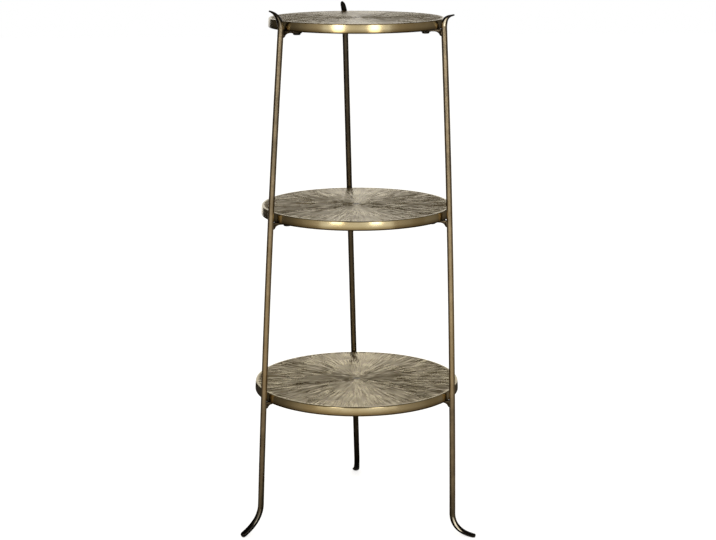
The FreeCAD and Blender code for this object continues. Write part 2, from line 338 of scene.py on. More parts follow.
def bar_way(up):
    """Unit direction of the bowed bar, from the slope of the parabola at each height."""
    way = np.stack([np.polyval(np.polyder(bow_terms), up), 0 * up, 1 + 0 * up], axis=-1)
    return way / np.linalg.norm(way, axis=-1, keepdims=True)


print("a leg stands out at 0, 400 and 800 mm up, mm:", bow(np.array([0, 400, 800])).round(1))

# %% Where an arm meets its leg


def leg_distance(tier):
    """Distance from the trays' axis to the leg's centre at the lower edge of the rim."""
    height = foot_height(tier)
    return math.hypot(bow(along_leg(height)), side_shift(height))


def arm_angle(tier):
    """Angle of the arms past their leg's own angle, because the legs lean."""
    return math.degrees(math.asin(side_shift(foot_height(tier)) / leg_distance(tier)))


for tier in TIERS:
    print(f"{tier}: leg at {leg_distance(tier):.2f} mm, arms turned {arm_angle(tier):.2f} degrees")

# %% [markdown]
# ## Forging the ends
#
# A smith heats the end of the bar and draws it out: the section changes from round to a
# flat oval and the tip is left rounded. A sculpted mesh could show that, but a formula
# keeps both ends alike: it blends the two diameters of the section with easing and lets
# the width run out like the end of an ellipse. The tip is filed back a hair, so that it
# stays inside the construction model's box.

# %% Draw out one end of the bar
forging_start, blunt_tip, filed_back = 0.2, 0.9985, 0.15
end_share = np.sin(np.linspace(0, 1, 46) * math.pi / 2) ** 1.15  # closer together at the tip


def forged_section(width, thickness, nose):
    """Width and thickness from the bar (share 0) to the tip (share 1) of a drawn-out end."""
    flat = ease(end_share, forging_start, 1.0)
    wide = leg_diameter + (width - leg_diameter) * flat
    thick = leg_diameter + (thickness - leg_diameter) * flat
    past = np.clip((end_share - nose) / (1 - nose), 0, blunt_tip)
    wide = wide * np.sqrt(1 - past ** 2)
    return wide, np.minimum(thick, wide)


def drawn_end(start, root_pull, tip, tip_turn, tip_pull, section):
    """Line, directions, widths and thicknesses of an end, on a curve from start to tip."""
    into_tip = tip_pull * np.array([math.cos(tip_turn), 0.0, math.sin(tip_turn)])
    line, way = bezier([start, start + root_pull, tip - into_tip, tip], end_share)
    line -= way * (filed_back * ease(end_share, 0.8, 1.0))[:, None]
    return (line, way, *forged_section(*section))


widths, thicknesses = forged_section(12.0, 6.5, 0.9)
print("a toe's width and thickness halfway, mm:", widths[22].round(2), thicknesses[22].round(2))

# %% [markdown]
# ## Toe, bar and leaf
#
# The foot sweeps outwards into a toe that lies on the floor, and the top flares out into
# a small leaf above the deck. Hand forging makes no two alike, so each leg has its own
# toe and leaf. One line from toe tip to leaf tip, with a width and a thickness at every
# point, describes the whole leg.

# %% The line of a whole leg
TOES = {  # height where the sweep starts, reach, slope and thickness at the tip
    "back": (42.0, 46.0, 15.0, 6.5),
    "front_left": (50.0, 36.5, 28.0, 8.5),
    "front_right": (35.0, 41.0, 1.0, 6.5),
}
LEAVES = {  # reach outwards, sway to the side, rise
    "back": (20.5, 2.5, 26.5),
    "front_left": (21.5, 0.0, 30.0),
    "front_right": (17.0, 0.0, 21.5),
}
toe_heel_pull, toe_tip_pull = 22.0, 24.0
toe_width, toe_nose, toe_nose_length, toe_ground_flat = 12.0, 0.9, 2.3, 0.6
leaf_start_drop, leaf_root_pull, leaf_tip_pull = 13.5, 15.0, 13.0
leaf_tip_slope, leaf_section = math.radians(10.0), (7.5, 2.5, 0.6)


def leg_line(toe_height, toe_reach, toe_slope, toe_thickness, leaf_sweep):
    """Points, directions, widths, thicknesses and a 'forged' share, toe tip to leaf tip."""
    low_up, high_up = along_leg(toe_height), along_leg(TIERS["top"][1] - leaf_start_drop)
    turn = math.radians(-toe_slope)
    lowest = toe_thickness / 2 * math.cos(turn) + toe_nose_length * math.sin(turn)
    toe_tip = np.array([bow(low_up) + toe_reach, 0.0, along_leg(lowest - toe_ground_flat)])
    toe = drawn_end(np.array([bow(low_up), 0.0, low_up]), -toe_heel_pull * bar_way(low_up),
                    toe_tip, turn, toe_tip_pull, (toe_width, toe_thickness, toe_nose))
    leaf_root = np.array([bow(high_up), 0.0, high_up])
    leaf = drawn_end(leaf_root, leaf_root_pull * bar_way(high_up), leaf_root + leaf_sweep,
                     leaf_tip_slope, leaf_tip_pull, leaf_section)
    up = np.linspace(low_up, high_up, 150)[1:-1]
    bar_size = np.full(len(up), leg_diameter)
    bar = (np.stack([bow(up), 0 * up, up], axis=1), bar_way(up), bar_size, bar_size)
    line, way, wide, thick = [np.concatenate([low_end[::-1], between, high_end])
                              for low_end, between, high_end in zip(toe, bar, leaf)]
    way[:len(end_share)] *= -1  # the toe was drawn downwards
    return line, way, wide, thick, np.concatenate([end_share[::-1], 0 * up, end_share])


print("points along a leg:", len(leg_line(*TOES["back"], LEAVES["back"])[0]))

# %% [markdown]
# ## The legs
#
# The section is an oval: width times cos, thickness times sin. The smith's hammer leaves the bar
# very slightly uneven, so the radius shrinks by up to a few hundredths in slow patches, never
# grows. Where a toe meets the floor it is ground flat, which here means that no point goes below
# zero height. Each point also keeps how forged it is, how much painted light its leg takes and how
# strong a painted highlight it carries, because the finish is dark where it was forged, the back
# leg is painted in shade, and painted highlights run along the bend of each toe and leaf.

# %% Make a leg
LEG_PAINTED_LIGHT = {"back": 0.0, "front_left": 0.85, "front_right": 1.0}  # painted light per leg: at 0 the back leg is painted in shade, and its cube sets the painted highlight on toes and leaves
flats_wavelength, dents_wavelength = 60, 9
bar_dent, forged_dent = 0.012, 0.022
# Turn and sharpness of the painted highlight round the bar's section.
glint_turn, glint_sharpness = math.radians(28), 12
sideways = np.array([0.0, 1.0, 0.0])


def hammer_dents(line, angle, seed):
    """Dents from 0 to 1: a slow wave along the line times three soft flats round the bar."""
    travel = np.concatenate([[0], np.cumsum(np.linalg.norm(np.diff(line, axis=0), axis=1))])
    flats = 0.5 + 0.5 * np.cos(angle * 3 + 9 * handwork(travel, flats_wavelength, seed)[:, None])
    return handwork(travel, dents_wavelength, seed + 1)[:, None] * flats


def leg_skin(name, seed):
    """Oval sections along the leg's line, leaned, ground flat at the floor and turned."""
    line, way, wide, thick, forged = leg_line(*TOES[name], LEAVES[name])
    angle, across = full_turn(48), np.cross(way, sideways)[:, None, :]
    out = (np.cos(angle)[:, None] * sideways * (wide / 2)[:, None, None]
           + np.sin(angle)[:, None] * across * (thick / 2)[:, None, None])
    depth = bar_dent + forged_dent * forged[:, None]
    shrink = 1 - depth * hammer_dents(line, angle, seed)
    x, y, z = np.moveaxis(line[:, None, :] + out * shrink[:, :, None], -1, 0)
    z = z - middle_height
    skin = np.stack([x, y * math.cos(lean) + z * math.sin(lean),
                     middle_height - y * math.sin(lean) + z * math.cos(lean)], axis=-1)
    skin[..., 2] = np.maximum(skin[..., 2], 0.0)
    # A painted highlight: thin light stripes along the bend of each toe and leaf, near the edges of
    # the flattened section, brightest on the right front leg and absent on the back leg.
    glint_strength = LEG_PAINTED_LIGHT[name] ** 3 * ease(forged, 0.02, 0.15) * (1 - ease(forged, 0.5, 0.85))
    facing = np.abs(np.cos(angle)) * math.cos(glint_turn) - np.sin(angle) * math.sin(glint_turn)
    painted_glint = np.clip(facing, 0, 1) ** glint_sharpness * glint_strength[:, None]
    # Each point also keeps its leg's painted light share, from which the finish paints the back leg
    # in shade.
    points, faces = stack_rings(at_axis(turned(skin, LEG_ANGLES[name])))
    forged = np.broadcast_to(forged[:, None], painted_glint.shape)
    return points, faces, {"forged": closed_values(forged), "painted_glint": closed_values(painted_glint),
                           "painted_light": np.full(len(points), LEG_PAINTED_LIGHT[name])}


legs = {}
for seed, name in enumerate(LEG_ANGLES):
    legs[name] = put_mesh("forged_leg_" + name, *leg_skin(name, 100 + 10 * seed), crease=60)

# %% [markdown]
# ## The arms
#
# An arm leaves its leg uphill as round bar, bends level just under the rim and is
# hammered flat into an eye for the screw. It is one section carried along one curve: the
# section starts as a circle and squares up into a strap with small rounded edges. The
# weld is a soft collar where the bar meets the leg, with a fill in the upper corner.

# %% The bent neck of an arm
arm_diameter, arm_weld_diameter, arm_drop, arm_run = 5.8, 8.8, 10.2, 14.0
arm_slope, arm_pull = math.radians(56.0), 0.4 * arm_run
arm_reach, arm_neck_width, eye_diameter, eye_thickness = 30.0, 9.0, 15.0, 3.6
bead_height, bead_fade = 0.5, 2.2
fill_height, fill_place, fill_fade = 3.4, 6.0, 3.6
strap_square = 7.0


def arm_neck():
    """Line, directions, half widths, half thicknesses and squareness, from leg to strap."""
    share = np.linspace(0.1, 1, 40)  # the root starts inside the leg
    start, end = np.array([0, 0, -arm_drop]), np.array([arm_run, 0, -eye_thickness / 2])
    uphill = arm_pull * np.array([math.cos(arm_slope), 0, math.sin(arm_slope)])
    line, way = bezier([start, start + uphill, end - [arm_pull, 0, 0], end], share)
    flat = ease(share, 0.35, 1.0)
    bead = bead_height * np.exp(-np.clip(line[:, 0] - leg_radius, 0, None) / bead_fade)
    collar = (arm_weld_diameter - arm_diameter) * (1 - ease(share, 0.2, 0.75)) + bead
    slim_start = 0.78 + 0.22 * ease(share, 0.1, 0.3)
    wide = (arm_diameter + collar + (arm_neck_width - arm_diameter) * flat) * slim_start
    thick = (arm_diameter + collar + (eye_thickness - arm_diameter) * flat) * slim_start
    return line, way, wide / 2, thick / 2, 2 + (strap_square - 2) * ease(share, 0.5, 1.0)


def arm_strap():
    """Places and half widths of the flat strap, which runs in a tangent to the round eye."""
    eye_radius, neck, run = eye_diameter / 2, arm_neck_width / 2, arm_reach - arm_run
    touch = math.atan2(neck, run) + math.acos(eye_radius / math.hypot(run, neck))
    touch_x = arm_reach - eye_radius * math.cos(touch)
    touch_half = eye_radius * math.sin(touch)
    neck_x = np.linspace(arm_run, touch_x, 8)[1:]
    neck_half = neck + (touch_half - neck) * (neck_x - arm_run) / (touch_x - arm_run)
    sweep = np.linspace(touch, math.pi - 0.02, 34)[1:]
    return (np.concatenate([neck_x, arm_reach - eye_radius * np.cos(sweep)]),
            np.concatenate([neck_half, eye_radius * np.sin(sweep)]))


print("steps along an arm:", len(arm_neck()[0]) + len(arm_strap()[0]))

# %% Carry the section along the arm


def strap_section(half_wide, half_thick, square, angles):
    """A superellipse: |cos|^(2/n) wide and |sin|^(2/n) thick, round at n=2, squarer above."""
    power = 2.0 / square[:, None]
    c, s = np.cos(angles), np.sin(angles)
    return (half_wide[:, None] * np.sign(c) * np.abs(c) ** power,
            half_thick[:, None] * np.sign(s) * np.abs(s) ** power)


def arm_skin():
    """An arm with X inwards from the leg's centre and its flat upper face at zero height."""
    line, way, half_wide, half_thick, square = arm_neck()
    flat_x, flat_half = arm_strap()
    level = 0 * flat_x
    line = np.concatenate([line, np.stack([flat_x, level, level - eye_thickness / 2], axis=1)])
    way = np.concatenate([way, np.stack([level + 1, level, level], axis=1)])
    half_wide = np.concatenate([half_wide, flat_half])
    half_thick = np.concatenate([half_thick, level + eye_thickness / 2])
    square = np.concatenate([square, level + strap_square])
    u, v = strap_section(half_wide, half_thick, square, full_turn(56) + math.pi / 56)
    across = np.cross(way, sideways)[:, None, :]
    fill = fill_height * np.exp(-((line[:, 0] - fill_place) / fill_fade) ** 2)
    v = np.where(v > 0, v * (1 + (fill / half_thick)[:, None]), v)
    skin = line[:, None, :] + u[..., None] * sideways + v[..., None] * across
    skin[..., 2] = np.minimum(skin[..., 2], 0.0)
    return stack_rings(skin)


plain_arm = arm_skin()
print("points of an arm before it is drilled:", len(plain_arm[0]))

# %% [markdown]
# ## Drilling the eye
#
# The eye's hole is drilled last with a boolean cut, as on the bench. A hole could be left
# out of the grid of points instead, but the cut keeps the strap's formula simple. The
# drill bit is a drum of two rings, and the result is read back as arrays, so that the
# same arm can be set in nine places.

# %% Drill the eye and set nine arms in place
screw_radius, hole_clearance = 3.0, 0.3
bit_low, bit_high = -8.0, 4.0


def drilled(points, faces, radius, x):
    """The shape with a round upright hole at (x, 0), cut by an exact boolean."""
    blank = put_mesh("arm_blank", points, faces)
    bit_rings = [ring(radius, up, full_turn(48), x) for up in (bit_low, bit_high)]
    bit = put_mesh("drill_bit", *stack_rings(bit_rings))
    cut = blank.modifiers.new("eye hole", "BOOLEAN")
    cut.operation, cut.solver, cut.object = "DIFFERENCE", "EXACT", bit
    bpy.context.view_layer.update()
    done = blank.evaluated_get(bpy.context.evaluated_depsgraph_get()).to_mesh()
    out = np.empty(len(done.vertices) * 3)
    done.vertices.foreach_get("co", out)
    corners, sides = np.empty(len(done.loops), int), np.empty(len(done.polygons), int)
    done.loops.foreach_get("vertex_index", corners)
    done.polygons.foreach_get("loop_total", sides)
    starts = np.concatenate([[0], np.cumsum(sides)[:-1]])
    flocks = [corners[starts[sides == k][:, None] + np.arange(k)] for k in np.unique(sides)]
    for helper in (blank, bit):
        bpy.data.objects.remove(helper)
    return out.reshape(-1, 3) / MM, flocks


arm_points, arm_faces = drilled(*plain_arm, screw_radius + hole_clearance, arm_reach)
arms = {}
for tier in TIERS:
    placed = arm_points * [-1, -1, 1] + [leg_distance(tier), 0, foot_height(tier)]
    placed = turned(placed, arm_angle(tier))
    for name, angle in LEG_ANGLES.items():
        arms[tier, name] = put_mesh("tray_arm_" + tier + "_" + name,
                                    at_axis(turned(placed, angle)), arm_faces, crease=35)

# %% [markdown]
# ## Chisel rays
#
# The decks are worked by hand: hundreds of short strokes run outwards, each starting and
# ending where the chisel happened to land. A stroke keeps its width, so there are more of
# them near the rim than near the middle. Bump alone could draw them, but the light on a
# real deck turns with the beds of the strokes, so they are modelled. The relief is random
# columns round the circle, each with its own run of heights along the radius, and sets
# with more and more columns take over from each other as the circle grows.

# %% Relief of the chisel rays
stroke_width, stroke_length = 1.4, 22.0
slow_waver, slow_waver_length = 0.8, 17.0
quick_waver, quick_waver_columns = 0.9, 30
fewest_columns = 24


def stroke_field(turn, radius, count, seed):
    """Random heights from 0 to 1 in `count` columns round the circle, eased both ways."""
    rng = np.random.default_rng(seed)
    runs, phase = rng.random((count, 64)), rng.random(count) * 64

    def column(i):
        along = radius / stroke_length + phase[i % count]
        k = np.floor(along).astype(int)
        t = smooth(along - k)
        return runs[i % count, k % 64] * (1 - t) + runs[i % count, (k + 1) % 64] * t

    across = turn * count
    i = np.floor(across).astype(int)
    t = smooth(across - i)
    return column(i) * (1 - t) + column(i + 1) * t


def ray_relief(turn, radius, seed):
    """Height of the worked deck, 0 in a stroke's bed to 1 on the ridge between strokes.

    The wanted number of columns is the circumference over the stroke width. The field is
    a blend of the two nearest sets out of 24, 48, 96, 192, 384 and 768 columns, with the
    angle pushed about by under a millimetre so that the strokes waver.
    """
    quick = stroke_field(turn, radius, quick_waver_columns, seed + 1)
    waver = (handwork(radius, slow_waver_length, seed) - 0.5) * slow_waver
    waver = waver + (quick - 0.5) * quick_waver
    turn = turn + waver / (2 * math.pi * np.maximum(radius, 8.0))
    wanted = np.maximum(2 * math.pi * radius / stroke_width, fewest_columns)
    octave = np.log2(wanted / fewest_columns)
    total = 0 * turn
    for k in range(6):
        weight = np.clip(1 - np.abs(octave - k), 0, 1)
        total += weight * stroke_field(turn, radius, fewest_columns * 2 ** k, seed + 10 + k)
    return ease(total, 0.1, 0.9)


sample = ray_relief(np.arange(6) / 500, np.full(6, 100.0), 1)
print("relief at 100 mm out, every 1.3 mm:", sample.round(2))

# %% [markdown]
# ## The trays
#
# A tray is turned round its axis: flat deck, rounded lip, a rim that swells a little
# towards its foot, and a hollow underside. The deck needs fine rings of points for the
# strokes, and more of them where the circle is larger, while the rim is smooth. So rings
# of 90, 360, 1080 and 2160 points follow each other on the deck, and the rim has 360.

# %% Profile of a tray
deck_thickness, rim_thickness = 4.0, 3.5
rim_swell, rim_top_round, rim_foot_round, recess_round = 0.75, 1.8, 0.8, 2.5
burnished_away = 0.02


def arc(centre, radius, from_angle, to_angle, count):
    """Points of an arc in the profile, as (out, up) pairs, angles in degrees."""
    a = np.radians(np.linspace(from_angle, to_angle, count))
    return np.stack([centre[0] + radius * np.cos(a), centre[1] + radius * np.sin(a)], axis=1)


def tray_profile(radius, deck):
    """(out, up) pairs of the rim from lip to foot, and of the hollow underside to its middle."""
    radius = radius - burnished_away
    foot, ceiling = deck - rim_depth, deck - deck_thickness
    waist, inside = radius - rim_swell, radius - rim_thickness
    shoulder, heel = deck - rim_top_round, foot + rim_foot_round
    lip = arc((waist - rim_top_round, shoulder), rim_top_round, 90, 0, 9)
    t = np.linspace(0, 1, 10)[1:]
    swell = np.stack([waist + rim_swell * t + rim_swell * t * (1 - t),
                      shoulder + (heel - shoulder) * t], axis=1)
    under = arc((radius - rim_foot_round, heel), rim_foot_round, 0, -90, 6)[1:]
    inner_foot = [[inside + 0.5, foot], [inside + 0.12, foot + 0.15], [inside, foot + 0.5]]
    cove = arc((inside - recess_round, ceiling - recess_round), recess_round, 0, 90, 8)
    hollow_out = np.geomspace(inside - recess_round - 2, 4.0, 16)
    hollow = np.stack([hollow_out, 0 * hollow_out + ceiling], axis=1)
    return np.concatenate([lip, swell, under]), np.concatenate([inner_foot, cove, hollow])


rim, underside = tray_profile(*TIERS["top"][:2])
print("points of the rim's and the underside's profile:", len(rim), len(underside))

# %% [markdown]
# ## The worked deck and the shell
#
# The strokes fade out towards the smooth lip and towards the small dimple in the middle,
# where the tray was held on the lathe. Three values go with the points for the finish:
# how high the relief is, whether the point is on the rim, and how low it lies on it.

# %% The shell of a tray
STROKE_DEPTHS = {"top": 0.40, "middle": 0.58, "bottom": 0.66}
dimple_depth, resting_relief = 0.55, 0.6
rim_count = 360


def deck_circles(lip_start):
    """Radii of the deck's rings, and how many points each has."""
    out = np.concatenate([np.linspace(1.5, 6, 4), np.arange(8.0, 30.0, 2.0),
                          np.arange(30.0, 80.0, 3.2), np.arange(80.0, lip_start - 4.5, 4.0),
                          lip_start - np.array([4.0, 2.8, 1.8, 0.9])])
    return zip(out, np.choose(np.searchsorted([7.0, 29.0, 79.0], out), [90, 360, 1080, 2160]))


def tray_shell(tier, seed):
    """The turned tray with its worked deck, and for each point its relief and zone."""
    radius, deck, _ = TIERS[tier]
    lip_start = radius - rim_swell - rim_top_round
    rings, relief, rim_zone, low_zone = [], [], [], []
    for out, count in deck_circles(lip_start):
        height = ray_relief(np.arange(count) / count, np.full(count, out), seed)
        strength = ease(out, 3, 11) * (1 - ease(out, lip_start - 4.5, lip_start - 1.2))
        dimple = dimple_depth * (1 - ease(out, 1.0, 7.0))
        up = deck - STROKE_DEPTHS[tier] * strength * (1 - height) - dimple
        rings.append(ring(out, up, full_turn(count)))
        relief.append(height * strength + (1 - strength) * resting_relief)
        rim_zone.append(np.full(count, float(ease(out, lip_start - 2.4, lip_start))))
        low_zone.append(np.zeros(count))
    rim, underside = tray_profile(radius, deck)
    rim_low = 0.5 * ease(deck - rim[:, 1], 4.0, rim_depth - 0.5)
    low = np.concatenate([rim_low, np.ones(len(underside))])
    for (out, up), low_share in zip(np.concatenate([rim, underside]), low):
        rings.append(ring(out, up, full_turn(rim_count)))
        relief.append(np.full(rim_count, resting_relief))
        rim_zone.append(np.ones(rim_count))
        low_zone.append(np.full(rim_count, low_share))
    values = {"relief": relief, "rim": rim_zone, "low": low_zone}
    return *stack_rings(rings), {key: closed_values(bands) for key, bands in values.items()}


print("points round the deck's rings:", sorted({int(count) for _, count in deck_circles(135.0)}))

# %% [markdown]
# ## Bosses and webs
#
# Each screw needs more metal than a thin deck has, so a boss is cast over each eye, and a
# short web carries its load to the rim. The boss is a profile turned round its own axis,
# with a blind bore, and the web is a squared section carried outwards. Both start inside
# the deck, so that nothing shows a gap.

# %% Cast the bosses and webs, and put the trays together
boss_radius, boss_root, web_thickness, web_setback, web_square = 8.0, 1.5, 4.0, 2.5, 5.0
screw_length, screw_end_space, screw_side_space = 12.0, 1.4, 0.15
washer_radius, washer_thickness = 8.0, 0.9


def boss_and_web(tier):
    """One screw boss with its blind bore, and the web that ties it to the rim."""
    radius, deck, _ = TIERS[tier]
    foot, ceiling, circle = foot_height(tier), deck - deck_thickness, leg_distance(tier) - arm_reach
    root = ceiling + boss_root
    bore = screw_radius + screw_side_space
    bore_end = foot + screw_length - washer_thickness - eye_thickness + screw_end_space
    boss = [(1.0, root), (boss_radius + 2.4, root), (boss_radius + 2.2, ceiling),
            (boss_radius + 1.0, ceiling - 0.35), (boss_radius + 0.3, ceiling - 1.1),
            (boss_radius, ceiling - 2.2), (boss_radius - 0.15, foot + 0.5),
            (boss_radius - 0.5, foot + 0.1), (boss_radius - 0.9, foot),
            (bore + 0.5, foot), (bore, foot + 0.5), (bore, bore_end), (0.3, bore_end + 1.0)]
    along = np.concatenate([[circle + 3], np.linspace(circle + 6, radius - 1.6, 8)])
    web_low, same = foot + web_setback, 0 * along
    web_half, deep_half = same + web_thickness / 2, same + (root - web_low) / 2
    u, v = strap_section(web_half, deep_half, same + web_square, full_turn(28))
    web = np.stack([along[:, None] + 0 * u, u, (root + web_low) / 2 + v], axis=-1)
    return stack_rings([ring(out, up, full_turn(60), circle) for out, up in boss]), stack_rings(web)


trays = {}
for seed, tier in enumerate(TIERS):
    points, faces, values = tray_shell(tier, 1000 + 100 * seed)
    shells = [(points, faces)]
    for angle in LEG_ANGLES.values():
        for part_points, part_faces in boss_and_web(tier):
            shells.append((turned(part_points, angle + arm_angle(tier)), part_faces))
    all_points, all_faces = join_shells(*shells)
    for key, under_value in (("relief", resting_relief), ("rim", 1.0), ("low", 1.0)):
        more = np.full(len(all_points) - len(points), under_value)
        values[key] = np.concatenate([values[key], more])
    trays[tier] = put_mesh("cast_tray_" + tier, at_axis(all_points), all_faces, values, crease=50)

# %% [markdown]
# ## Screws and washers
#
# A socket screw is turned and then punched. In the formula it is one profile turned round
# its axis, but the rings inside the socket follow a hexagon in place of a circle, and the
# rings of the shank run in and out with the thread. Washers are stamped, so their upper
# edge is rounded and their lower edge has a slight burr.

# %% Make a socket screw
head_radius, head_height, socket_width, socket_depth = 6.0, 2.9, 4.0, 1.9
thread_pitch, thread_depth = 1.0, 0.55
around = full_turn(72)  # the points round every screw and washer


def screw_skin():
    """Head down, its flat face at zero height: thread, head, punched hexagon.

    The thread is a wave of the radius that climbs one pitch per turn. The hexagon's
    radius is half its width over the cosine of the angle from the nearest flat.
    """
    sixth = math.pi / 3
    hexagon = socket_width / 2 / np.cos((around + sixth / 2) % sixth - sixth / 2)
    crown = head_height * 0.35
    profile = [(screw_radius - 1.0, screw_length), (screw_radius - 0.6, screw_length - 0.3)]
    for up in np.arange(screw_length - 0.9, 0.55, -thread_pitch / 7):
        wave = np.abs(((up / thread_pitch - around / (2 * math.pi)) % 1.0) - 0.5) * 2
        profile.append((screw_radius - thread_depth * wave * ease(up, 0.5, 1.6), up))
    profile += [(screw_radius, 0.3), (screw_radius + 0.1, 0.05), (screw_radius + 0.3, 0.0),
                (head_radius - 0.25, 0.0), (head_radius, -0.2), (head_radius, -crown)]
    for a in np.radians([20, 40, 60, 75, 88]):
        profile.append((head_radius * (0.66 + 0.34 * math.cos(a)),
                        -crown - (head_height - crown) * math.sin(a)))
    profile += [(hexagon + 0.45, -head_height), (hexagon + 0.1, -head_height + 0.08),
                (hexagon, -head_height + 0.35), (hexagon, -head_height + socket_depth),
                (0.4, -head_height + socket_depth + 0.5)]
    return stack_rings([ring(out, up, around) for out, up in profile])


print("points of a screw:", len(screw_skin()[0]))

# %% Stamp a washer, and set both under the eyes


def washer_skin():
    """A profile of inner wall, rounded upper edge, outer wall and burr that closes on itself."""
    hole = screw_radius + hole_clearance
    profile = np.array([(hole, -0.15), (hole + 0.15, 0.0), (washer_radius - 0.3, 0.0),
                        (washer_radius - 0.08, -0.08), (washer_radius, -0.3),
                        (washer_radius, -washer_thickness + 0.08),
                        (washer_radius - 0.1, -washer_thickness), (hole + 0.1, -washer_thickness),
                        (hole, -washer_thickness + 0.1)])
    points = ring(profile[:, :1], profile[:, 1:], around)
    number = np.arange(points[..., 0].size).reshape(points.shape[:2])
    beside = np.roll(number, -1, axis=1)
    corners = [number, beside, np.roll(beside, -1, axis=0), np.roll(number, -1, axis=0)]
    return points.reshape(-1, 3), [np.stack([each.ravel() for each in corners], axis=1)]


def under_eyes(skin, tier, drop, hand_turn):
    """Three copies below the eyes of a tier, each turned by hand to its own stop."""
    points, faces = skin
    height = foot_height(tier) - eye_thickness - drop
    copies = []
    for k, angle in enumerate(LEG_ANGLES.values()):
        placed = turned(points, hand_turn * (k + 1)) + [leg_distance(tier) - arm_reach, 0, height]
        copies.append((at_axis(turned(placed, angle + arm_angle(tier))), faces))
    return join_shells(*copies)


washer_turn, screw_turns = 31.0, {"top": 23.0, "middle": 40.0, "bottom": 57.0}
screws, washers = {}, {}
for tier in TIERS:
    stamped = under_eyes(washer_skin(), tier, 0.0, washer_turn)
    washers[tier] = put_mesh("flat_washers_" + tier, *stamped, crease=30)
    screwed = under_eyes(screw_skin(), tier, washer_thickness, screw_turns[tier])
    screws[tier] = put_mesh("socket_screws_" + tier, *screwed, crease=30)

# %% [markdown]
# ## Building a finish from nodes
#
# A finish is a small network of nodes. One function adds a node, sets what it is given
# and links what comes from another node. Colours are written as the hex values one would
# read off a screen, and one function turns them into the linear numbers that light works
# with. A metal's colour is laid on as a finisher does it: a ground first, then one coat
# after another, each only where its mask lets it through.

# %% Helpers for finishes


def linear(hex_colour):
    """An sRGB hex colour as linear red, green, blue and alpha."""
    parts = [int(hex_colour[i:i + 2], 16) / 255 for i in (1, 3, 5)]
    return *(p / 12.92 if p <= 0.04045 else ((p + 0.055) / 1.055) ** 2.4 for p in parts), 1.0


def add_node(tree, kind, inputs=(), output=0, **settings):
    """Adds one node and returns an output. Inputs are values or outputs, by name or order."""
    made = tree.nodes.new("ShaderNode" + kind)
    for key, value in settings.items():
        setattr(made, key, value)
    for key, value in inputs.items() if isinstance(inputs, dict) else enumerate(inputs):
        if isinstance(value, bpy.types.NodeSocket):
            tree.links.new(value, made.inputs[key])
        else:
            made.inputs[key].default_value = value
    return made.outputs[output] if made.outputs else made


def coated(tree, ground, *coats):
    """Lays coats of colour over a ground. A mask says how much of each coat stays.

    A mask is a value, the two limits between which it counts, and the share of the coat
    at the first and at the second limit, with easing between them.
    """
    for colour, mask in coats:
        share = add_node(tree, "MapRange", mask, interpolation_type="SMOOTHSTEP")
        ground = add_node(tree, "Mix", {0: share, 6: ground, 7: colour}, 2, data_type="RGBA")
    return ground


def new_finish(name, **sockets):
    """A material with one Principled shader, whose fixed values are set on its sockets."""
    made = bpy.data.materials.new(name)
    made.use_nodes = True
    shader = made.node_tree.nodes["Principled BSDF"]
    for key, value in sockets.items():
        shader.inputs[key.replace("_", " ")].default_value = value
    return made, made.node_tree


def close_finish(tree, colour, rough, normal):
    """Links what a finish ends in to its shader: the colour, the roughness and the bump."""
    shader = tree.nodes["Principled BSDF"]
    for key, value in (("Base Color", colour), ("Roughness", rough), ("Normal", normal)):
        tree.links.new(value, shader.inputs[key])


print("a bronze brown in linear numbers:", [round(part, 3) for part in linear("#8B7C62")])

# %% [markdown]
# ## Forged steel with a bronze finish
#
# Legs and arms are mild steel with a thin bronze-brown finish that is rubbed back while it dries
# and sealed with wax. A painted lighter band lies on the bar between the two lower trays, in place
# of lamp light that falls short there, and the bar is darker towards the floor. The forged toes and
# leaves are near black, apart from thin painted highlights along the bend, and the back leg and the
# arms carry painted shade. Steel under wax is smooth but not polished, so the roughness sits near
# 0.3, and hammer work shows as broad soft dents about 7 mm across with a fine scale of half a
# millimetre between them.

# %% Finish of the legs and arms


